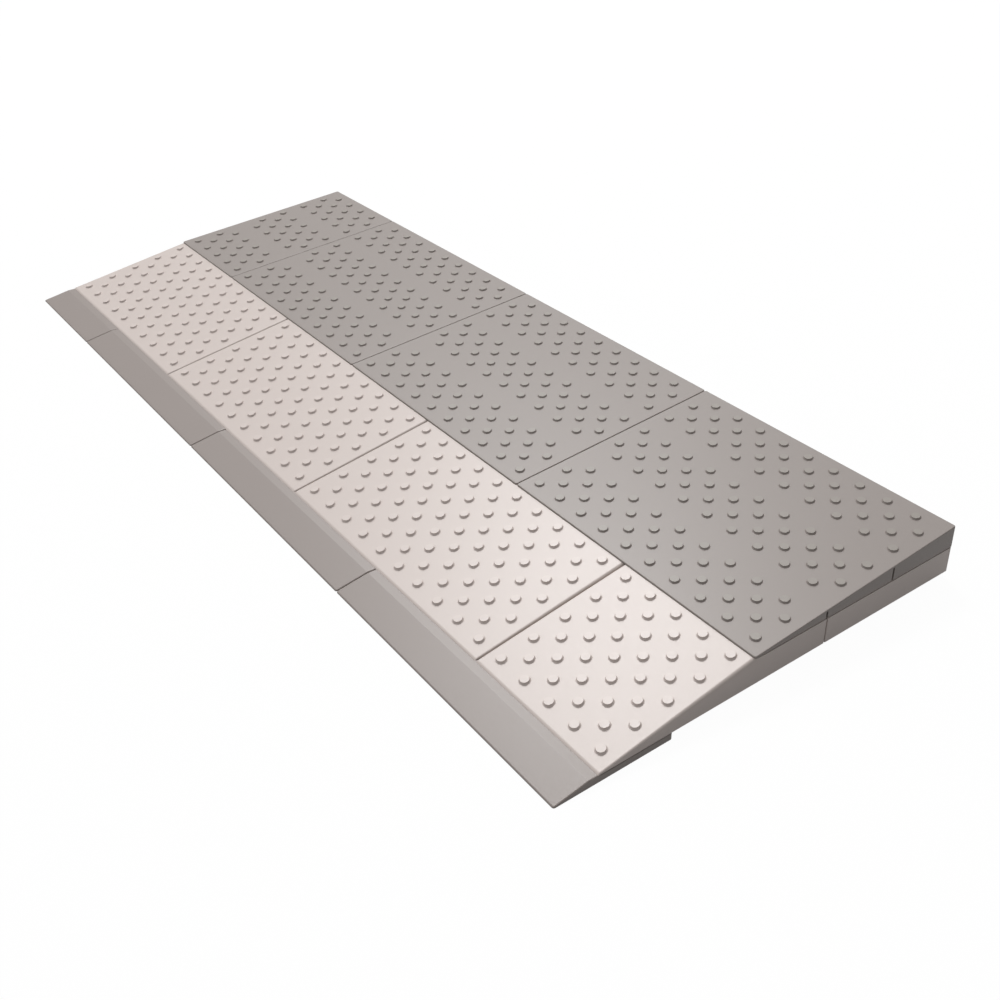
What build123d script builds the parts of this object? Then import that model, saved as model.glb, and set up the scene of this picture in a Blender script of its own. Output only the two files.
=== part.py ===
from build123d import *
import os
from math import atan2, cos, hypot, sin

# Threshold ramp of moulded plastic tiles in brick bond, two layers high, with lead-in strips.
# X runs along the threshold, Y up the ramp and Z up. The origin is on the floor, midway in X and Y.
# Driving dimensions, in millimetres.

# Tiles in a row
tile_pitch = 214.4        # one full tile with its share of the seams
full_tiles = 3            # full tiles in a row, which one half tile completes
joint_gap = 0.4           # open seam between neighbours
cells_across = 4          # hollow cells across a full tile
wall = 2.4                # outer walls and inner ribs
skin = 2.2                # top skin of a hollow tile
least_hollow = 1.5        # a wedge stays solid where its hollow would be lower than this

# Lead-in strip
strip_exposed = 28.4      # in front of the front tiles
strip_level = 6.3         # level facet at the rear of the exposed part
strip_under = 50.6        # plate under the front tiles
strip_thickness = 4.7
strip_nose = 0.8          # height of the leading edge
strip_corner = 1.3        # plan radius of its corners
strip_round = 0.9         # radius along its upper edges

# Lower layer: front tiles and base blocks
lower_height = 18.2       # from the underside to the deck
front_run = 109.3         # sloping run of a front tile
front_lip = 0.6           # height of its leading edge
shelf_depth = 58.2        # level shelf behind the slope
base_setback = 1.0        # the base blocks stop this far short of the top tiles' rear
front_round = 1.9         # radius along the ends of the slope
base_corner = 0.5         # plan radius of a base block's corners
shadow_height = 0.8       # shadow line along the ends of the deck, under the top tiles
shadow_depth = 1.6

# Upper layer: top tiles
top_depth = 171.0
top_lip = 1.1             # height of the leading edge
top_rear_height = 14.8    # height of the rear wall
top_cells = 3             # cells from front to rear, parted by the cut lines
slit_width = 1.5          # cut line
slit_skin = 1.1           # plastic left over a cut line
top_round = 0.6           # radius along the edges of the slope
top_corner = 1.5          # plan radius of the corners

# Grip dots
dots_across = 10          # dots in the longer rows of a full tile
dot_row_pitch = 11.5      # between rows, along the slope
front_first_row = 11.15   # first row from the leading edge of a front tile
top_first_row = 11.3      # first row from the leading edge of a top tile
last_row_margin = 6.0     # least distance from the last row to the end of the slope
slit_band = 4.0           # rows nearer to a cut line than this are left out
dot_foot = 7.0            # diameter at the foot
dot_crown = 5.6           # diameter at the top
dot_height = 1.4
dot_round = 0.15          # radius of the top edge
dot_root = 0.6            # how far the dot reaches down into the skin

# Fasteners and pads
fit = 0.15                # clearance on each side of a pin or a clip
end_play = 0.3            # room past the end of a pin
rivet_shank = 6.0
rivet_head = 12.0
rivet_head_height = 2.0
rivet_recess = 0.3        # head above the floor
rivet_grip = 3.2          # shank above the strip's plate
rivet_inset = 12.0        # from the rear end of the plate
rivet_boss = 11.0
dowel = 8.0
dowel_up = 4.0            # length in the top tile
dowel_down = 8.0          # length in the base block
dowel_boss = 13.0
clip_length = 14.0        # along the seam
clip_web = 1.6
clip_leg = 2.2            # thickness of a leg
clip_leg_height = 3.0
clip_inset = 2.0          # from the rib behind it
pad = 32.0
pad_stem = 8.0
pad_stem_length = 7.0
pad_boss = 20.0
edge_break = 0.6          # chamfers on pins and pads

# Levels and lines that follow from them
deck = strip_thickness + lower_height
ramp_depth = strip_exposed + front_run + top_depth
strip_y = -ramp_depth / 2
front_y = strip_y + strip_exposed
top_y = front_y + front_run
seam_y = top_y + shelf_depth
rear_y = top_y + top_depth
base_rear_y = rear_y - base_setback
cell_pitch = tile_pitch / cells_across
half_cells = cells_across // 2
row_cells = full_tiles * cells_across + half_cells
front_slope = (lower_height - front_lip) / front_run
top_slope = (top_rear_height - top_lip) / top_depth
top_cell = top_depth / top_cells
slit_lines = [top_y + top_cell * n for n in range(1, top_cells)]
dowel_lines = [top_y + top_cell * (n + 0.5) for n in range(1, top_cells)]
rivet_y = front_y + strip_under - rivet_inset
base_rib_y = (seam_y + base_rear_y) / 2
strip_crest_y = front_y - strip_level
strip_slope = (strip_thickness - strip_nose) / (strip_crest_y - strip_y)
front_pad_y = (top_y + seam_y) / 2
rear_pad_y = (base_rib_y + base_rear_y) / 2
dowel_cells = range(0, row_cells, 2)
pad_cells = range(1, row_cells, 2)


def cell_x(index):
    """X of the line before cell number index, counted from the -X end. Halves give the middle of a cell."""
    return (index - row_cells / 2) * cell_pitch


def row_slots(half_first):
    """Name, first cell and number of cells of each tile in a row."""
    slots = [(str(n + 1), n * cells_across, cells_across) for n in range(full_tiles)]
    if half_first:
        slots = [(name, first + half_cells, count) for name, first, count in slots]
        return [("half", 0, half_cells)] + slots
    return slots + [("half", full_tiles * cells_across, half_cells)]


def row_seams(half_first):
    """X of each seam between neighbours in a row."""
    return [cell_x(first) for name, first, count in row_slots(half_first)[1:]]


def tile_ends(first, count):
    """X of the two end faces of a tile."""
    return cell_x(first) + joint_gap / 2, cell_x(first + count) - joint_gap / 2


def front_top(y):
    """Height of the upper face of a front tile."""
    return min(deck, strip_thickness + front_lip + (y - front_y) * front_slope)


def top_top(y):
    """Height of the upper face of a top tile."""
    return deck + top_lip + (y - top_y) * top_slope


def prism(outline, left, right):
    """Outline in Y and Z, drawn out along X."""
    face = Plane.YZ.offset(left) * make_face(Polyline(*outline, close=True))
    return extrude(face, amount=right - left)


def block(x, y, z):
    """Box between two limits on each axis."""
    size = [high - low for low, high in (x, y, z)]
    middle = [(high + low) / 2 for low, high in (x, y, z)]
    return Pos(*middle) * Box(*size)


def slope_plane(y, z, slope):
    """Plane on a slope, with its own Y uphill and its own Z square to the face."""
    angle = atan2(slope, 1)
    return Plane(origin=(0, y, z), x_dir=(1, 0, 0), z_dir=(0, -sin(angle), cos(angle)))


def sloped_slab(ends, front, rear, low, high, lip, slope, edge, corner=0):
    """Slab from low to high under a slope that starts at lip.

    With rounded corners all edges of the slope are rounded, and else only its two ends.
    """
    deep = low - high
    outline = [(front, deep), (rear, deep), (rear, lip + (rear - front) * slope), (front, lip)]
    slab = prism(outline, *ends)
    if corner:
        slab = fillet(slab.edges().filter_by(Axis.Z), corner)
    rim = slab.faces().sort_by(Axis.Z)[-1].edges()
    if not corner:
        rim = rim.filter_by(Axis.X, reverse=True)
    slab = fillet(rim, edge)
    return slab & block((ends[0] - 1, ends[1] + 1), (front - 1, rear + 1), (low, high))


def upright(diameter, x, y, low, high):
    """Upright cylinder between two heights."""
    return Pos(x, y, (low + high) / 2) * Cylinder(diameter / 2, high - low)


def grip_dot():
    """One raised dot with a drafted side and a softened edge, standing on the XY plane."""
    flare = (dot_foot - dot_crown) / 2 * dot_root / dot_height
    upwards = (Align.CENTER, Align.CENTER, Align.MIN)
    body = Cone(dot_foot / 2 + flare, dot_crown / 2, dot_height + dot_root, align=upwards)
    return fillet((Pos(0, 0, -dot_root) * body).edges().sort_by(Axis.Z)[-1], dot_round)


def grip_dots(plane, first, count, length, first_row, bare_lines):
    """Dots of one tile in staggered rows, without the rows that lie over a cut line."""
    dot = grip_dot()
    pitch = tile_pitch / dots_across
    longer = dots_across * count // cells_across
    middle = cell_x(first + count / 2)
    rows = int((length - first_row - last_row_margin) / dot_row_pitch) + 1
    dots = []
    for row in range(rows):
        along = first_row + row * dot_row_pitch
        if any(abs(along - line) < slit_band for line in bare_lines):
            continue
        number = longer - row % 2
        for column in range(number):
            x = middle + (column - (number - 1) / 2) * pitch
            dots.append(plane.location * Pos(x, along) * dot)
    return dots


def hollow(first, count, front, rear, low, ceiling):
    """Row of cells from front to rear, open below, between the end walls of a tile and its ribs."""
    outline = [(front, low - 1), (rear, low - 1), (rear, ceiling(rear)), (front, ceiling(front))]
    ends = tile_ends(first, count)
    cells = []
    for cell in range(first, first + count):
        left = max(cell_x(cell) + wall / 2, ends[0] + wall)
        right = min(cell_x(cell + 1) - wall / 2, ends[1] - wall)
        cells.append(prism(outline, left, right))
    return cells


def end_steps(front, rear):
    """Shadow line along the two ends of the deck, from front to rear."""
    left, right = tile_ends(0, row_cells)
    heights = (deck - shadow_height, deck + 1)
    return [
        block((left - 1, left + shadow_depth), (front, rear), heights),
        block((right - shadow_depth, right + 1), (front, rear), heights),
    ]


def inside(cells, first, count):
    """The cells of a pattern that lie in one tile."""
    return [cell for cell in cells if first <= cell < first + count]


def clip(x, y, low, turn=0):
    """U-shaped clip with one leg on each side of a seam, its web flush with the undersides."""
    inner = joint_gap / 2 + wall + fit
    outer = inner + clip_leg
    along = (-clip_length / 2, clip_length / 2)
    body = block((-outer, outer), along, (0, clip_web))
    for side in (-1, 1):
        limits = sorted((side * inner, side * outer))
        body += block(limits, along, (clip_web, clip_web + clip_leg_height))
    return Pos(x, y, low) * Rot(0, 0, turn) * body


def clip_notch(x, y, low, turn=0):
    """Room for the web of a clip in the two walls that it holds."""
    reach = joint_gap / 2 + wall + fit + clip_leg + fit
    along = clip_length / 2 + fit
    return Pos(x, y, low) * Rot(0, 0, turn) * block((-reach, reach), (-along, along), (-1, clip_web))


def clip_y(rear):
    """Y of a clip in a cell that ends at rear."""
    return rear - wall - clip_inset - clip_length / 2


front_clip_lines = [clip_y(top_y), clip_y(seam_y)]
base_clip_lines = [clip_y(base_rib_y), clip_y(base_rear_y)]
top_clip_lines = [clip_y(top_y + top_cell * n) for n in range(2, top_cells + 1)]
strip_slots = row_slots(half_first=True)
front_slots = row_slots(half_first=False)
base_slots = row_slots(half_first=False)
top_slots = row_slots(half_first=True)
front_clips = [(x, y) for x in row_seams(half_first=False) for y in front_clip_lines]
base_clips = [(x, y) for x in row_seams(half_first=False) for y in base_clip_lines]
top_clips = [(x, y) for x in row_seams(half_first=True) for y in top_clip_lines]
tie_clips = [(cell_x(cell + 0.5), seam_y) for cell in dowel_cells]
strip_ends = [cell for name, first, count in strip_slots for cell in (first, first + count - 1)]


def lead_strip(first, count):
    """Lead-in strip: a sloping nose, a level facet and a plate with holes for the rivets."""
    ends = tile_ends(first, count)
    rear = front_y + strip_under
    strip = sloped_slab(
        ends, strip_y, rear, 0, strip_thickness, strip_nose, strip_slope, strip_round, strip_corner
    )
    seat = rivet_recess + rivet_head_height
    for cell in inside(strip_ends, first, count):
        x = cell_x(cell + 0.5)
        strip -= upright(rivet_head + 2 * fit, x, rivet_y, -1, seat)
        strip -= upright(rivet_shank + 2 * fit, x, rivet_y, 0, strip_thickness + 1)
    return strip


def front_tile(first, count):
    """Front tile: a dotted wedge with a level shelf behind it, hollow from below."""
    ends = tile_ends(first, count)
    low = strip_thickness
    lip = low + front_lip
    rear = seam_y - joint_gap / 2
    tile = sloped_slab(ends, front_y, rear, low, deck, lip, front_slope, front_round)
    tile -= end_steps(top_y + top_corner, seam_y)
    slope = slope_plane(front_y, lip, front_slope)
    length = hypot(front_run, lower_height - front_lip)
    tile += grip_dots(slope, first, count, length, front_first_row, [])
    rivets = [cell_x(cell + 0.5) for cell in inside(strip_ends, first, count)]
    pads = [cell_x(cell + 0.5) for cell in inside(pad_cells, first, count)]
    bosses = [upright(rivet_boss, x, rivet_y, 0, deck) for x in rivets]
    bosses += [upright(pad_boss, x, front_pad_y, 0, deck) for x in pads]
    start = front_y + (skin + least_hollow - front_lip) / front_slope
    middle = front_y + front_run / 2
    fronts = [start, middle + wall / 2, top_y + wall / 2]
    rears = [middle - wall / 2, top_y - wall / 2, rear - wall]
    for row_front, row_rear in zip(fronts, rears):
        cells = hollow(first, count, row_front, row_rear, low, lambda y: front_top(y) - skin)
        tile -= [cell - bosses for cell in cells]
    for x in rivets:
        tile -= upright(rivet_shank + 2 * fit, x, rivet_y, 0, low + rivet_grip + end_play)
    for x in pads:
        tile -= upright(pad_stem + 2 * fit, x, front_pad_y, 0, low + pad_stem_length + end_play)
    for x, y in front_clips:
        tile -= clip_notch(x, y, low)
    for x, y in tie_clips:
        tile -= clip_notch(x, y, low, 90)
    return tile


def base_block(first, count):
    """Base block: a level deck on hollow cells, with sockets for the dowels and the pads."""
    ends = tile_ends(first, count)
    low = strip_thickness
    front = seam_y + joint_gap / 2
    base = block(ends, (front, base_rear_y), (low, deck))
    base = fillet(base.edges().filter_by(Axis.Z), base_corner)
    base -= end_steps(seam_y, rear_y)
    dowels = [(cell_x(cell + 0.5), y) for cell in inside(dowel_cells, first, count) for y in dowel_lines]
    pads = [cell_x(cell + 0.5) for cell in inside(pad_cells, first, count)]
    bosses = [upright(dowel_boss, x, y, 0, deck) for x, y in dowels]
    bosses += [upright(pad_boss, x, rear_pad_y, 0, deck) for x in pads]
    fronts = [front + wall, base_rib_y + wall / 2]
    rears = [base_rib_y - wall / 2, base_rear_y - wall]
    for row_front, row_rear in zip(fronts, rears):
        cells = hollow(first, count, row_front, row_rear, low, lambda y: deck - skin)
        base -= [cell - bosses for cell in cells]
    for x, y in dowels:
        base -= upright(dowel + 2 * fit, x, y, deck - dowel_down, deck + 1)
    for x in pads:
        base -= upright(pad_stem + 2 * fit, x, rear_pad_y, 0, low + pad_stem_length + end_play)
    for x, y in base_clips:
        base -= clip_notch(x, y, low)
    for x, y in tie_clips:
        base -= clip_notch(x, y, low, 90)
    return base


def top_tile(first, count):
    """Top tile: a dotted wedge on the deck, hollow from below, with cut lines from side to side."""
    ends = tile_ends(first, count)
    left, right = ends
    lip = deck + top_lip
    high = deck + top_rear_height
    tile = sloped_slab(ends, top_y, rear_y, deck, high, lip, top_slope, top_round, top_corner)
    slope = slope_plane(top_y, lip, top_slope)
    length = hypot(top_depth, top_rear_height - top_lip)
    bare_lines = [length * n / top_cells for n in range(1, top_cells)]
    tile += grip_dots(slope, first, count, length, top_first_row, bare_lines)
    dowels = [(cell_x(cell + 0.5), y) for cell in inside(dowel_cells, first, count) for y in dowel_lines]
    bosses = [upright(dowel_boss, x, y, deck, high + deck) for x, y in dowels]
    start = top_y + (skin + least_hollow - top_lip) / top_slope
    half_slit = slit_width / 2
    fronts = [start] + [line + half_slit + wall for line in slit_lines]
    rears = [line - half_slit - wall for line in slit_lines] + [rear_y - wall]
    for row_front, row_rear in zip(fronts, rears):
        cells = hollow(first, count, row_front, row_rear, deck, lambda y: top_top(y) - skin)
        tile -= [cell - bosses for cell in cells]
    for line in slit_lines:
        height = top_top(line) - slit_skin
        tile -= block((left - 1, right + 1), (line - half_slit, line + half_slit), (deck - 1, height))
    for x, y in dowels:
        tile -= upright(dowel + 2 * fit, x, y, deck - 1, deck + dowel_up + end_play)
    for x, y in top_clips:
        tile -= clip_notch(x, y, deck)
    return tile


def strip_rivet(cell):
    """Push-in rivet from below, through the strip's plate into a boss of the front tile."""
    x = cell_x(cell + 0.5)
    seat = rivet_recess + rivet_head_height
    head = upright(rivet_head, x, rivet_y, rivet_recess, seat)
    shank = upright(rivet_shank, x, rivet_y, seat, strip_thickness + rivet_grip)
    return head + chamfer(shank.edges().sort_by(Axis.Z)[-1], edge_break)


def layer_dowel(cell, y):
    """Dowel between a base block and the top tile over it."""
    pin = upright(dowel, cell_x(cell + 0.5), y, deck - dowel_down, deck + dowel_up)
    rims = pin.edges().filter_by(GeomType.CIRCLE)
    return chamfer(rims, edge_break)


def levelling_pad(cell, y):
    """Rubber pad as thick as the strip's plate, with a stem that pushes into the lower layer."""
    x = cell_x(cell + 0.5)
    foot = upright(pad, x, y, 0, strip_thickness)
    foot = chamfer(foot.edges().filter_by(GeomType.CIRCLE), edge_break)
    stem = upright(pad_stem, x, y, strip_thickness, strip_thickness + pad_stem_length)
    return foot + chamfer(stem.edges().sort_by(Axis.Z)[-1], edge_break)


def all_parts():
    """Every piece of the ramp, by name. Like fasteners and pads are groups of separate solids."""
    parts = {}
    for name, first, count in strip_slots:
        parts["lead_strip_" + name] = lead_strip(first, count)
    for name, first, count in front_slots:
        parts["front_tile_" + name] = front_tile(first, count)
    for name, first, count in base_slots:
        parts["base_block_" + name] = base_block(first, count)
    for name, first, count in top_slots:
        parts["top_tile_" + name] = top_tile(first, count)
    parts["strip_rivets"] = Compound([strip_rivet(cell) for cell in strip_ends])
    parts["front_row_clips"] = Compound([clip(x, y, strip_thickness) for x, y in front_clips])
    parts["base_row_clips"] = Compound([clip(x, y, strip_thickness) for x, y in base_clips])
    parts["top_row_clips"] = Compound([clip(x, y, deck) for x, y in top_clips])
    parts["row_tie_clips"] = Compound([clip(x, y, strip_thickness, 90) for x, y in tie_clips])
    parts["layer_dowels"] = Compound([layer_dowel(cell, y) for cell in dowel_cells for y in dowel_lines])
    parts["front_pads"] = Compound([levelling_pad(cell, front_pad_y) for cell in pad_cells])
    parts["rear_pads"] = Compound([levelling_pad(cell, rear_pad_y) for cell in pad_cells])
    return parts


os.makedirs("parts", exist_ok=True)
for name, shape in all_parts().items():
    export_step(shape, "parts/" + name + ".step")
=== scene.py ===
from math import atan, cos, hypot, radians, sin

import bmesh
import bpy
from mathutils import Matrix, Vector


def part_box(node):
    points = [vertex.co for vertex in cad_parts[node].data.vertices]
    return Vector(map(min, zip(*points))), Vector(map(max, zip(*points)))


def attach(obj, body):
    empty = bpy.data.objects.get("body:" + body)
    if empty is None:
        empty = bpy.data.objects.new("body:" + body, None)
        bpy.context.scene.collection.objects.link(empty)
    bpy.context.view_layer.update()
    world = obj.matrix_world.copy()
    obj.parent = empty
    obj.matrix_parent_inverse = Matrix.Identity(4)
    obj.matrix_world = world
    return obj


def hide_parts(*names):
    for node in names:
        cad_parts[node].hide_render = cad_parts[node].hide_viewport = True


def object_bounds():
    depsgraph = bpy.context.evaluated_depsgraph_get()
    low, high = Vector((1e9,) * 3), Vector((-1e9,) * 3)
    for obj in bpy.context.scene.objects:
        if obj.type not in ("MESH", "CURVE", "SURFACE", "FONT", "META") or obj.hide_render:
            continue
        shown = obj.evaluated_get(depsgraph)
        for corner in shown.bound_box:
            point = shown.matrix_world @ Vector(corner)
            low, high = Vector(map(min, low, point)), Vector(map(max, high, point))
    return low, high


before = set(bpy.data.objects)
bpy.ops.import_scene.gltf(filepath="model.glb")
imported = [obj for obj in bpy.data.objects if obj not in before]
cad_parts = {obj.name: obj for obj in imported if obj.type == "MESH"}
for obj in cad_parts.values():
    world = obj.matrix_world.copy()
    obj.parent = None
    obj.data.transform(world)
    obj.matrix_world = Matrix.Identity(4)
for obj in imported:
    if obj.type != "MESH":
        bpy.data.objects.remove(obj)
cad_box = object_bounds()

# Threshold ramp of moulded plastic tiles in brick bond, two layers high, with lead-in strips.
# X runs along the threshold, Y up the ramp and Z up. Lengths are in metres.
mm = 0.001

# Lines and levels of the ramp, from the frame
strip_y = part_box("lead_strip_1")[0].y
plate_rear_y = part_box("lead_strip_1")[1].y
front_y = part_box("front_tile_1")[0].y
seam_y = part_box("front_tile_1")[1].y
top_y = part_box("top_tile_1")[0].y
rear_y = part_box("top_tile_1")[1].y
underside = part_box("base_block_1")[0].z
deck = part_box("base_block_1")[1].z

# Rows of tiles
joint_gap = 0.4 * mm         # between the CAD ends of neighbours
row_cells = 14               # hollow cells along a row
tile_cells = 4               # of them in a full tile
wall = 2.4 * mm
skin = 2.2 * mm              # plastic over a cell
least_hollow = 1.5 * mm      # a wedge stays solid where its cells would be lower than this

# Lead-in strip
strip_level = 5.9 * mm       # level facet in front of the front tiles
strip_nose = 0.75 * mm       # height of the leading edge
strip_corner = 1.3 * mm
strip_round = 0.9 * mm
strip_bend = 0.1 * mm        # half of the bend between slope and facet
strip_short = 0.6 * mm       # the -X end stops this far short of its CAD end
strip_long = 0.7 * mm        # the +X end reaches this far into a joint
plate_gap = 0.5 * mm         # shadow gap between the plate and the tiles over it
plate_gap_inset = 1.5 * mm   # from the leading edge of the tiles
rivet_recess = 12.3 * mm     # across
rivet_recess_depth = 2.3 * mm
rivet_inset = 12.0 * mm      # from the rear end of the plate
rivet_boss = 11.0 * mm

# Front tile
front_lip = 0.6 * mm         # height of the leading edge
front_round = 2.8 * mm       # rounding along the +X end, at the rear seam
front_taper = 0.36           # share of that rounding left at the leading edge
front_edge = 0.5 * mm        # rounding along the -X end
front_short = 0.9 * mm       # the -X end stops this far short of its CAD end
front_long = 0.35 * mm       # the +X end reaches this far into a joint
seam_open = 0.7 * mm         # the rear end stops this far short of its CAD end
lip_reach = 1.9 * mm         # the slope bends down to the leading edge from here
lip_drop = 0.55 * mm
lip_power = 2.5              # of the curve that the bend follows
lip_cuts = (0.2, 0.45, 0.7, 1)    # lines across the bend, in shares of its reach
crease = 0.5 * mm            # a line this far before the shelf keeps the slope's shading flat
shadow_height = 0.8 * mm     # shadow line along the ends of the shelf, under the top tiles
shadow_depth = 1.6 * mm
pad_boss = 20.0 * mm
clip_length = 14.3 * mm      # room for a clip along a seam
clip_web = 1.6 * mm
clip_inset = 9.0 * mm        # from the rib behind a clip to its middle

# Top tile
top_lip = 1.1 * mm           # height of the leading edge
top_rear_height = 14.8 * mm
top_round = 0.6 * mm
top_corner = 1.5 * mm
top_cells = 3                # cells from front to rear, parted by the cut lines
slit_width = 1.5 * mm
slit_skin = 1.1 * mm         # plastic left over a cut line
dowel_boss = 13.0 * mm

# Grip dots
dots_across = 10             # dots in the longer rows of a full tile
row_pitch = 11.5 * mm        # between rows, along the slope
front_first_row = 11.25 * mm    # from the leading edge, along the slope
front_row_shift = -0.4 * mm  # of all the rows, along X
top_first_row = 11.3 * mm
top_row_shift = -0.3 * mm
last_row_margin = 6.0 * mm   # left free at the end of the slope
slit_band = 4.0 * mm         # rows nearer to a cut line than this are left out
dot_sunk = 0.02 * mm         # the foot lies this deep in the slope
dot_sides = 16
# Radius and height in mm, from crown to foot
pale_dot = [(2.75, 1.4), (2.92, 0.74), (3.2, 0.28), (3.7, 0)]
grey_dot = [(2.8, 1.15), (2.96, 0.52), (3.6, 0)]

# Meshes
touch = 0.001 * mm           # places nearer than this count as one
speck = 0.005 * mm           # edges shorter than this are dissolved
place_digits = 7             # decimals that tell two cutting lines apart
facing = 0.9                 # a face whose normal has this share of an axis faces along it
shelf_facing = 0.99          # upward share of a normal: a shelf has more than this,
steep_facing = 0.98          # and walls and roundings, steeper than the slope, have less than this
round_steps = 4              # faces across a rounding
bend_steps = 3
boss_sides = 24
recess_sides = 32
sharp_angle = radians(40)    # edges sharper than this aren't smoothed

cell_pitch = (cad_box[1].x - cad_box[0].x + joint_gap) / row_cells
dot_pitch = cell_pitch * tile_cells / dots_across
front_slope = (deck - underside - front_lip) / (top_y - front_y)
top_slope = (top_rear_height - top_lip) / (rear_y - top_y)
top_cell = (rear_y - top_y) / top_cells
slit_lines = [top_y + top_cell * n for n in range(1, top_cells)]
dowel_lines = [top_y + top_cell * (n + 0.5) for n in range(1, top_cells)]
rivet_y = plate_rear_y - rivet_inset
pad_y = (top_y + seam_y) / 2


def cell_middle(cell):
    """X of the middle of a cell, counted from the -X end of the row."""
    return (cell + 0.5 - row_cells / 2) * cell_pitch


dowel_cells = [cell_middle(cell) for cell in range(0, row_cells, 2)]
pad_cells = [cell_middle(cell) for cell in range(1, row_cells, 2)]


def front_height(y):
    """Height of the slope of a front tile."""
    return underside + front_lip + (y - front_y) * front_slope


def top_height(y):
    """Height of the slope of a top tile."""
    return deck + top_lip + (y - top_y) * top_slope


# Mesh tools

def edges_of(faces):
    """Edges of faces, each once."""
    return list(dict.fromkeys(edge for face in faces for edge in face.edges))


def edges_at(edges, axis, place):
    """Those edges that lie at a place on an axis."""
    return [
        edge for edge in edges
        if all(abs(getattr(vert.co, axis) - place) < touch for vert in edge.verts)
    ]


def drawn_out(outline, left, right):
    """Prism of an outline in Y and Z, drawn out along X."""
    bm = bmesh.new()
    face = bm.faces.new([bm.verts.new((left, y, z)) for y, z in outline])
    moved = bmesh.ops.extrude_face_region(bm, geom=[face])["geom"]
    far_end = [item for item in moved if isinstance(item, bmesh.types.BMVert)]
    bmesh.ops.translate(bm, vec=(right - left, 0, 0), verts=far_end)
    bmesh.ops.recalc_face_normals(bm, faces=bm.faces)
    return bm


def soften(bm, edges, radius, segments=round_steps):
    """Rounds edges to a radius."""
    bmesh.ops.bevel(
        bm, geom=edges, offset=radius, offset_type="OFFSET", segments=segments,
        profile=0.5, affect="EDGES", material=-1, clamp_overlap=False,
    )


def level_cut(bm, height, keep_above):
    """Cuts a body level at a height and closes the cut."""
    whole = bm.verts[:] + bm.edges[:] + bm.faces[:]
    cut = bmesh.ops.bisect_plane(
        bm, geom=whole, plane_co=(0, 0, height), plane_no=(0, 0, 1),
        clear_inner=keep_above, clear_outer=not keep_above,
    )["geom_cut"]
    rims = [item for item in cut if isinstance(item, bmesh.types.BMEdge)]
    bmesh.ops.holes_fill(bm, edges=rims, sides=0)
    bm.normal_update()


def slab(outline, ends, low, edge, corner, bends=()):
    """Body of a tile or strip: a deep block, cut level below.

    Its bends, its corners and its upper edges are rounded.
    """
    bm = drawn_out(outline, *ends)
    for y, reach in bends:
        soften(bm, edges_at(bm.edges, "y", y), reach, bend_steps)
    limits = [min(y for y, z in outline), max(y for y, z in outline)]
    uprights = [
        line for line in bm.edges
        if (line.verts[0].co - line.verts[1].co).xy.length < touch
        and any(abs(line.verts[0].co.y - y) < touch for y in limits)
    ]
    soften(bm, uprights, corner)
    upper = [face for face in bm.faces if face.normal.z > facing]
    rim = [
        line for face in upper for line in face.edges
        if not all(side in upper for side in line.link_faces)
    ]
    soften(bm, rim, edge)
    level_cut(bm, low, keep_above=True)
    return bm


def cut_across(bm, faces, point, normal):
    """Parts faces along a plane."""
    verts = list(dict.fromkeys(vert for face in faces for vert in face.verts))
    bmesh.ops.bisect_plane(
        bm, geom=verts + edges_of(faces) + faces, dist=touch, plane_co=point, plane_no=normal
    )
    bm.normal_update()


def undersides(bm, low):
    """Faces of a body that lie at its underside."""
    return [
        face for face in bm.faces
        if face.normal.z < -facing and abs(face.calc_center_median().z - low) < touch
    ]


def outsides(bm):
    """Faces of a body that don't face down."""
    return [face for face in bm.faces if face.normal.z > -facing]


def shifted(bm, faces):
    """Frees faces from the body, with new walls round them, and gives their points to be moved."""
    freed = bmesh.ops.extrude_face_region(bm, geom=faces + edges_of(faces))["geom"]
    return [item for item in freed if isinstance(item, bmesh.types.BMVert)]


def press_up(bm, low, areas, ceiling):
    """Presses rectangles of the underside up, each point of them to the ceiling over it."""
    for number, axis in enumerate((Vector((1, 0, 0)), Vector((0, 1, 0)))):
        lines = {round(limit, place_digits) for area in areas for limit in area[number]}
        for line in sorted(lines):
            cut_across(bm, undersides(bm, low), axis * line, axis)
    pressed = []
    for face in undersides(bm, low):
        x, y, z = face.calc_center_median()
        if any(across[0] < x < across[1] and along[0] < y < along[1] for across, along in areas):
            pressed.append(face)
    for vert in shifted(bm, pressed):
        vert.co.z = ceiling(vert.co.y)
    bm.normal_update()


def cell_areas(left, right, rows):
    """Plan limits of the cells between the end walls of a tile and its ribs."""
    areas = []
    for n in range(round((right - left) / cell_pitch)):
        near = left - joint_gap / 2 + n * cell_pitch + wall / 2
        far = near + cell_pitch - wall
        across = (max(near, left + wall), min(far, right - wall))
        areas += [(across, along) for along in rows]
    return areas


def boss(bm, across, x, y, low, high):
    """Round boss in a cell."""
    bmesh.ops.create_cone(
        bm, cap_ends=True, segments=boss_sides, radius1=across / 2, radius2=across / 2,
        depth=high - low, matrix=Matrix.Translation((x, y, (low + high) / 2)),
    )


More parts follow.
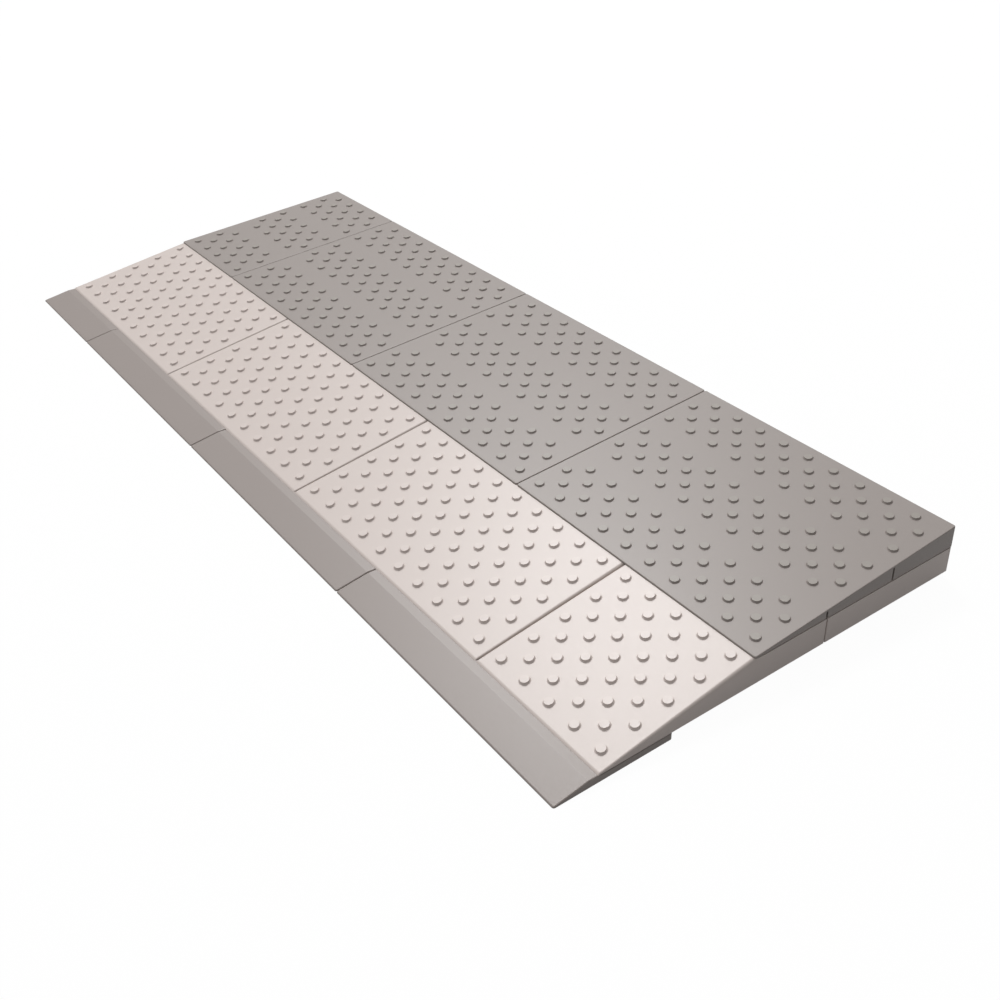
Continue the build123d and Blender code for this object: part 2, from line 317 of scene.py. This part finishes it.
def round_recesses(bm, low, places):
    """Recesses for rivet heads in a plain underside."""
    bottom = undersides(bm, low)[0]
    rims = bottom.edges[:]
    bmesh.ops.delete(bm, geom=[bottom], context="FACES_ONLY")
    for x, y in places:
        ring = bmesh.ops.create_circle(
            bm, cap_ends=False, radius=rivet_recess / 2, segments=recess_sides,
            matrix=Matrix.Translation((x, y, low)),
        )["verts"]
        rim = list(dict.fromkeys(edge for vert in ring for edge in vert.link_edges))
        rims += rim
        raised = bmesh.ops.extrude_edge_only(bm, edges=rim)["geom"]
        verts = [item for item in raised if isinstance(item, bmesh.types.BMVert)]
        bmesh.ops.translate(bm, vec=(0, 0, rivet_recess_depth), verts=verts)
        edges = [item for item in raised if isinstance(item, bmesh.types.BMEdge)]
        seat = [edge for edge in edges if set(edge.verts) <= set(verts)]
        bmesh.ops.holes_fill(bm, edges=seat, sides=0)
    bmesh.ops.triangle_fill(bm, edges=rims, use_beauty=True)
    bmesh.ops.recalc_face_normals(bm, faces=bm.faces)


def grip_dot(outline):
    """One raised dot, turned from its outline: a flat crown and a side that hollows out to the foot."""
    bm = bmesh.new()
    points = [bm.verts.new((radius * mm, 0, height * mm - dot_sunk)) for radius, height in outline]
    lines = [bm.edges.new(pair) for pair in zip(points, points[1:])]
    bmesh.ops.spin(
        bm, geom=points + lines, cent=(0, 0, 0), axis=(0, 0, 1), angle=radians(360),
        steps=dot_sides, use_merge=True,
    )
    bmesh.ops.remove_doubles(bm, verts=bm.verts, dist=touch)
    bmesh.ops.holes_fill(bm, edges=bm.edges, sides=0)
    bmesh.ops.recalc_face_normals(bm, faces=bm.faces)
    # Mask of the crown faces, which the materials paint lighter: painted light.
    painted_light_mask = bm.faces.layers.float.new("crown")
    for face in bm.faces:
        face[painted_light_mask] = float(face.calc_center_median().z > outline[0][1] * mm - dot_sunk * 2)
    mesh = bpy.data.meshes.new("grip_dot")
    bm.to_mesh(mesh)
    bm.free()
    return mesh


def set_dots(bm, dot, ends, front, lip, slope, length, first_row, bare_lines):
    """Sets dots on a slope in staggered rows, without the rows that lie over a cut line."""
    left, right = ends
    plane = Matrix.Translation(((left + right) / 2, front, lip)) @ Matrix.Rotation(atan(slope), 4, "X")
    longer = round((right - left) / dot_pitch)
    rows = int((length - first_row - last_row_margin) / row_pitch) + 1
    for row in range(rows):
        along = first_row + row * row_pitch
        if any(abs(along - line) < slit_band for line in bare_lines):
            continue
        number = longer - row % 2
        for column in range(number):
            across = (column - (number - 1) / 2) * dot_pitch
            copy = dot.copy()
            copy.transform(plane @ Matrix.Translation((across, along, 0)))
            bm.from_mesh(copy)
            bpy.data.meshes.remove(copy)


def moulding(bm, node, material):
    """Adds a finished piece in place of a CAD node, smooth except at its sharp edges."""
    mesh = bpy.data.meshes.new("moulded_" + node)
    bm.to_mesh(mesh)
    bm.free()
    mesh.shade_smooth()
    mesh.set_sharp_from_angle(angle=sharp_angle)
    mesh.materials.append(material)
    piece = bpy.data.objects.new("moulded_" + node, mesh)
    bpy.context.scene.collection.objects.link(piece)
    weighted = piece.modifiers.new("weighted_normals", "WEIGHTED_NORMAL")
    weighted.keep_sharp = True
    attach(piece, "root")
    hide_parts(node)


# Pieces

def x_ends(node):
    """X of the two ends of a CAD node."""
    low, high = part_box(node)
    return low.x, high.x


def into_joint(right, length):
    """X of a +X end that reaches into a joint, unless it ends the row."""
    return right + length if right < cad_box[1].x - wall else right


def span(middle, length):
    """Limits of a length about its middle."""
    return middle - length / 2, middle + length / 2


def between(places, ends):
    """Those places that lie between two ends."""
    return [x for x in places if ends[0] < x < ends[1]]


def rivet_places(strip):
    """X of the rivets of a strip, in its two end cells."""
    left, right = x_ends(strip)
    inset = (cell_pitch - joint_gap) / 2
    return [left + inset, right - inset]


def lead_strip(node):
    """Sloping nose, level facet and a plate that runs back under the front tiles."""
    crest = front_y - strip_level
    outline = [
        (strip_y, -underside), (plate_rear_y, -underside), (plate_rear_y, underside),
        (crest, underside), (strip_y, strip_nose),
    ]
    left, right = x_ends(node)
    ends = (left + strip_short, into_joint(right, strip_long))
    bm = slab(outline, ends, 0, strip_round, strip_corner, [(crest, strip_bend)])
    round_recesses(bm, 0, [(x, rivet_y) for x in rivet_places(node)])
    start = front_y + plate_gap_inset
    for y in (start, start + plate_gap):
        cut_across(bm, outsides(bm), (0, y, 0), (0, 1, 0))
    for vert in bm.verts:
        if vert.co.y > start + plate_gap / 2 and vert.co.z > underside - strip_round + touch:
            vert.co.z -= plate_gap
    return bm


def bend_lip(bm):
    """Bends the front of a front tile's slope down to its leading edge."""
    for share in lip_cuts:
        cut_across(bm, outsides(bm), (0, front_y + lip_reach * share, 0), (0, 1, 0))
    for vert in bm.verts:
        behind = vert.co.y - front_y
        if behind < lip_reach:
            share = lip_drop / (front_lip + behind * front_slope) * (1 - behind / lip_reach) ** lip_power
            vert.co.z -= (vert.co.z - underside) * share
    bm.normal_update()


def front_wedge(far_end, near_end):
    """Solid wedge and shelf of a front tile, with a rounding that grows along its +X end."""
    deep = underside - deck
    rear = seam_y - seam_open
    outline = [
        (front_y, deep), (rear, deep), (rear, front_height(rear)), (front_y, front_height(front_y)),
    ]
    bm = drawn_out(outline, far_end, near_end)
    for end, radius in ((far_end, front_edge), (near_end, front_round)):
        slope = max(bm.faces, key=lambda face: face.normal.z)
        soften(bm, edges_at(slope.edges, "x", end), radius)
    for vert in bm.verts:
        x, y, z = vert.co
        height = front_height(y)
        rounded = x > near_end - front_round - touch and z > height - front_round - touch
        if rounded and y < front_y + touch:
            vert.co.x = near_end + (x - near_end) * front_taper
            vert.co.z = height + (z - height) * front_taper
    level_cut(bm, underside, keep_above=True)
    level_cut(bm, deck, keep_above=False)
    bend_lip(bm)
    cut_across(bm, bm.faces[:], (0, top_y - crease, 0), (0, 1, 0))
    return bm


def end_step(bm, end, inner):
    """Steps the upper edge of a shelf back from the end of its row: a shadow line under the top tile."""
    low = deck - shadow_height
    start = top_y + top_corner

    def ends_and_tops():
        return [face for face in outsides(bm) if abs(face.normal.y) < facing]

    for y in (start, start + shadow_height):
        cut_across(bm, ends_and_tops(), (0, y, 0), (0, 1, 0))
    faces = ends_and_tops()
    cut_across(bm, [face for face in faces if face.normal.z > shelf_facing], (inner, 0, 0), (1, 0, 0))
    cut_across(bm, [face for face in faces if face.normal.z < steep_facing], (0, 0, low), (0, 0, 1))
    for vert in bm.verts:
        beyond = abs(vert.co.x - end) < abs(inner - end) - touch
        if beyond and vert.co.z > low + touch and vert.co.y > start + shadow_height - touch:
            vert.co.x = inner
            vert.co.z = low
    bmesh.ops.dissolve_degenerate(bm, edges=bm.edges, dist=speck)
    bm.normal_update()


def front_tile(node, dot, rivets):
    """Dotted wedge with a level shelf behind it, hollow from below."""
    ends = x_ends(node)
    left, right = ends

    def ceiling(y):
        return min(deck, front_height(y)) - skin

    bm = front_wedge(left + front_short, into_joint(right, front_long))
    for end, inwards in ((cad_box[0].x, 1), (cad_box[1].x, -1)):
        if min(abs(x - end) for x in ends) < wall:
            end_step(bm, end, end + inwards * shadow_depth)
    start = front_y + (skin + least_hollow - front_lip) / front_slope
    middle = (front_y + top_y) / 2
    rows = [
        (start, middle - wall / 2), (middle + wall / 2, top_y - wall / 2),
        (top_y + wall / 2, seam_y - wall),
    ]
    press_up(bm, underside, cell_areas(left, right, rows), ceiling)
    joints = between(ends, (cad_box[0].x + wall, cad_box[1].x - wall))
    clips = [line - wall / 2 - clip_inset for line in (top_y, seam_y - wall / 2)]
    notches = [(span(x, wall * 2), span(y, clip_length)) for x in joints for y in clips]
    ties = between(dowel_cells, ends)
    notches += [(span(x, clip_length), span(seam_y, wall * 2)) for x in ties]
    press_up(bm, underside, notches, lambda y: underside + clip_web)
    for x in between(rivets, ends):
        boss(bm, rivet_boss, x, rivet_y, underside, ceiling(rivet_y) + skin / 2)
    for x in between(pad_cells, ends):
        boss(bm, pad_boss, x, pad_y, underside, ceiling(pad_y) + skin / 2)
    lip = front_height(front_y)
    length = hypot(top_y - front_y, deck - lip)
    dotted = (left + front_row_shift, right + front_row_shift)
    set_dots(bm, dot, dotted, front_y, lip, front_slope, length, front_first_row, [])
    return bm


def top_tile(node, dot):
    """Dotted wedge on the deck, hollow from below, with cut lines that show as slits in its ends."""
    ends = x_ends(node)
    left, right = ends
    lip = top_height(top_y)
    deep = deck - top_rear_height
    outline = [(top_y, deep)]
    for line in slit_lines:
        before, after = span(line, slit_width)
        peak = top_height(line) - slit_skin
        outline += [(before, deep), (before, peak), (after, peak), (after, deep)]
    outline += [(rear_y, deep), (rear_y, top_height(rear_y)), (top_y, lip)]
    bm = slab(outline, ends, deck, top_round, top_corner)
    start = top_y + (skin + least_hollow - top_lip) / top_slope
    fronts = [start] + [line + slit_width / 2 + wall for line in slit_lines]
    rears = [line - slit_width / 2 - wall for line in slit_lines] + [rear_y - wall]
    cells = cell_areas(left, right, list(zip(fronts, rears)))
    press_up(bm, deck, cells, lambda y: top_height(y) - skin)
    for x in between(dowel_cells, ends):
        for y in dowel_lines:
            boss(bm, dowel_boss, x, y, deck, top_height(y) - skin / 2)
    length = hypot(rear_y - top_y, top_rear_height - top_lip)
    bare_lines = [length * n / top_cells for n in range(1, top_cells)]
    dotted = (left + top_row_shift, right + top_row_shift)
    set_dots(bm, dot, dotted, top_y, lip, top_slope, length, top_first_row, bare_lines)
    return bm


# Materials

cloud_size = 60 * mm         # of the flow clouds in the colour
cloud_detail = 3.0
etch_detail = 2.0
etch_low, etch_high = 0.3, 0.7    # reach of the etched grain's noise
gloss_spread = 0.03          # of the roughness over the grain, either way
relief_strength = 0.1
relief_depth = 0.05 * mm
plastic_ior = 1.5


def linear(code):
    """Linear colour of an sRGB hex value."""
    values = [int(code[start:start + 2], 16) / 255 for start in (1, 3, 5)]
    return [v / 12.92 if v <= 0.04045 else ((v + 0.055) / 1.055) ** 2.4 for v in values] + [1.0]


def add(tree, kind, inputs={}, **settings):
    """Adds a node. An input is a value, or the output of another node, which is linked to it."""
    made = tree.nodes.new("ShaderNode" + kind)
    for name, value in settings.items():
        setattr(made, name, value)
    for key, value in inputs.items():
        if isinstance(value, bpy.types.NodeSocket):
            tree.links.new(value, made.inputs[key])
        else:
            made.inputs[key].default_value = value
    return made


def blend(tree, share, first, second):
    """Mix of two colours. The numbers are the mix node's sockets for colours."""
    return add(tree, "Mix", {0: share, 6: first, 7: second}, data_type="RGBA").outputs[2]


def moulded_plastic(name, colour, shade, crown, roughness, specular, grain):
    """Moulded plastic: a matte skin copied from an etched mould, with faint flow clouds in its colour.

    The crowns of the grip dots are painted a little lighter: painted light, for the shade that falls on
    the slope round the dots but not on their crowns.
    """
    material = bpy.data.materials.new(name)
    material.use_nodes = True
    tree = material.node_tree
    tree.nodes.clear()
    place = add(tree, "TexCoord").outputs["Object"]
    cloud = add(tree, "TexNoise", {"Vector": place, "Scale": 1 / cloud_size, "Detail": cloud_detail})
    clouded = blend(tree, cloud.outputs["Fac"], linear(colour), linear(shade))
    # The crown faces take the lighter crown colour: painted light.
    painted_light_mask = add(tree, "Attribute", attribute_name="crown").outputs["Fac"]
    tint = blend(tree, painted_light_mask, clouded, linear(crown))
    etch = add(tree, "TexNoise", {"Vector": place, "Scale": 1 / grain, "Detail": etch_detail})
    height = etch.outputs["Fac"]
    gloss = add(tree, "MapRange", {
        "Value": height, "From Min": etch_low, "From Max": etch_high,
        "To Min": roughness - gloss_spread, "To Max": roughness + gloss_spread,
    })
    relief = add(tree, "Bump", {
        "Height": height, "Strength": relief_strength, "Distance": relief_depth,
    })
    surface = add(tree, "BsdfPrincipled", {
        "Base Color": tint, "Roughness": gloss.outputs[0], "Normal": relief.outputs[0],
        "IOR": plastic_ior, "Specular IOR Level": specular,
    })
    add(tree, "OutputMaterial", {"Surface": surface.outputs[0]})
    return material


# The third colour of each plastic is the colour of its dot crowns, a little lighter on the tiles:
# painted light.
tile_finish = {"roughness": 0.397, "specular": 0.5, "grain": 0.9 * mm}
pale_polyethylene = moulded_plastic(
    "pale_moulded_polyethylene", "#D0C4BE", "#CEC2BC", "#D3C7C1", **tile_finish
)
grey_polyethylene = moulded_plastic(
    "grey_moulded_polyethylene", "#958C87", "#938A85", "#979089", **tile_finish
)
# The strips get a copy of the grey tiles' plastic, painted a little lighter: painted light, for the
# light that their slope misses.
strip_polyethylene = moulded_plastic(
    "grey_polyethylene_painted_lighter", "#978D88", "#958B86", "#979089", **tile_finish
)
black_nylon = moulded_plastic(
    "black_moulded_nylon", "#2E2C2B", "#292726", "#2E2C2B", roughness=0.45, specular=0.5, grain=0.7 * mm
)
pad_rubber = moulded_plastic(
    "black_moulded_rubber", "#232221", "#1F1E1D", "#232221", roughness=0.8, specular=0.4, grain=0.6 * mm
)

# Every node gets its material. Strips and tiles are built again in place of their CAD nodes.
strips = [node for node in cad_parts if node.startswith("lead_strip")]
rivets = [x for node in strips for x in rivet_places(node)]
front_dot = grip_dot(pale_dot)
top_dot = grip_dot(grey_dot)
for node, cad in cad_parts.items():
    material = black_nylon
    if node.startswith("lead_strip"):
        material = strip_polyethylene
        moulding(lead_strip(node), node, material)
    elif node.startswith("front_tile"):
        material = pale_polyethylene
        moulding(front_tile(node, front_dot, rivets), node, material)
    elif node.startswith("top_tile"):
        material = grey_polyethylene
        moulding(top_tile(node, top_dot), node, material)
    elif node.startswith("base_block"):
        material = pale_polyethylene
    elif node.endswith("pads"):
        material = pad_rubber
    cad.data.materials.clear()
    cad.data.materials.append(material)
for dot in (front_dot, top_dot):
    bpy.data.meshes.remove(dot)

# Floor, light and camera
white_colour = (1, 1, 1, 1)
ambient = 0.33               # even light from all round
floor_reach = 20.0           # from the middle of the floor to its edges
floor_matte = 0.95           # grey value of the floor where shadows fall on it
floor_bounce = 0.29          # light that the floor throws back on the end walls
floor_gleam = 0.5            # share of the floor's white that glossy surfaces mirror
floor_glow = 0.97            # share of the floor's white that no shadow darkens
# Name, size, distance, azimuth from -X towards +Y and elevation in degrees, power in watts
lamps = [
    ("softbox", 1.0, 4.04, 30.6, 54.6, 86.2),
    ("light_wall", 6.0, 5.0, 30.6, 54.6, 88.0),
    ("side_fill", 4.0, 4.0, -70.0, 20.0, 22.0),
]

world = bpy.data.worlds.new("studio")
world.use_nodes = True
bpy.context.scene.world = world
tree = world.node_tree
tree.nodes.clear()
light = add(tree, "Background", {"Color": white_colour, "Strength": ambient})
add(tree, "OutputWorld", {"Surface": light.outputs[0]})

bm = bmesh.new()
bmesh.ops.create_grid(bm, x_segments=1, y_segments=1, size=floor_reach)
floor_mesh = bpy.data.meshes.new("floor")
bm.to_mesh(floor_mesh)
bm.free()
floor_paint = bpy.data.materials.new("white_floor")
floor_paint.use_nodes = True
tree = floor_paint.node_tree
tree.nodes.clear()
path = add(tree, "LightPath").outputs
gleam = add(tree, "Math", {0: path["Is Glossy Ray"], 1: floor_gleam}, operation="MULTIPLY")
seen = add(tree, "Math", {0: path["Is Camera Ray"], 1: gleam.outputs[0]}, operation="MAXIMUM")
shown = add(tree, "Math", {0: seen.outputs[0], 1: path["Is Transmission Ray"]}, operation="MAXIMUM")
bounce = add(tree, "BsdfDiffuse", {"Color": (floor_bounce, floor_bounce, floor_bounce, 1)})
matte = add(tree, "BsdfDiffuse", {"Color": (floor_matte, floor_matte, floor_matte, 1)})
glow = add(tree, "Emission", {"Color": white_colour, "Strength": 1.0})
white = add(tree, "MixShader", {0: floor_glow, 1: matte.outputs[0], 2: glow.outputs[0]})
mixed = add(tree, "MixShader", {0: shown.outputs[0], 1: bounce.outputs[0], 2: white.outputs[0]})
add(tree, "OutputMaterial", {"Surface": mixed.outputs[0]})
floor_mesh.materials.append(floor_paint)
floor = bpy.data.objects.new("floor", floor_mesh)
bpy.context.scene.collection.objects.link(floor)

for name, size, distance, azimuth, elevation, power in lamps:
    level = cos(radians(elevation))
    towards = Vector((
        -level * cos(radians(azimuth)), level * sin(radians(azimuth)), sin(radians(elevation))
    ))
    lamp = bpy.data.lights.new(name, "AREA")
    lamp.size = size
    lamp.energy = power
    lamp_stand = bpy.data.objects.new(name, lamp)
    bpy.context.scene.collection.objects.link(lamp_stand)
    lamp_stand.location = towards * distance
    lamp_stand.rotation_euler = towards.to_track_quat("Z", "Y").to_euler()

# The photo is an off-axis crop, so the lens is shifted.
lens = bpy.data.cameras.new("camera")
lens.lens = 44.573
lens.shift_x = -0.0136
lens.shift_y = -0.1
camera = bpy.data.objects.new("camera", lens)
bpy.context.scene.collection.objects.link(camera)
bpy.context.scene.camera = camera
camera.location = (0.71045, -0.42439, 0.46836)
camera.rotation_euler = (radians(60.8808), radians(0.3468), radians(53.3577))
bpy.context.scene.view_settings.view_transform = "Standard"
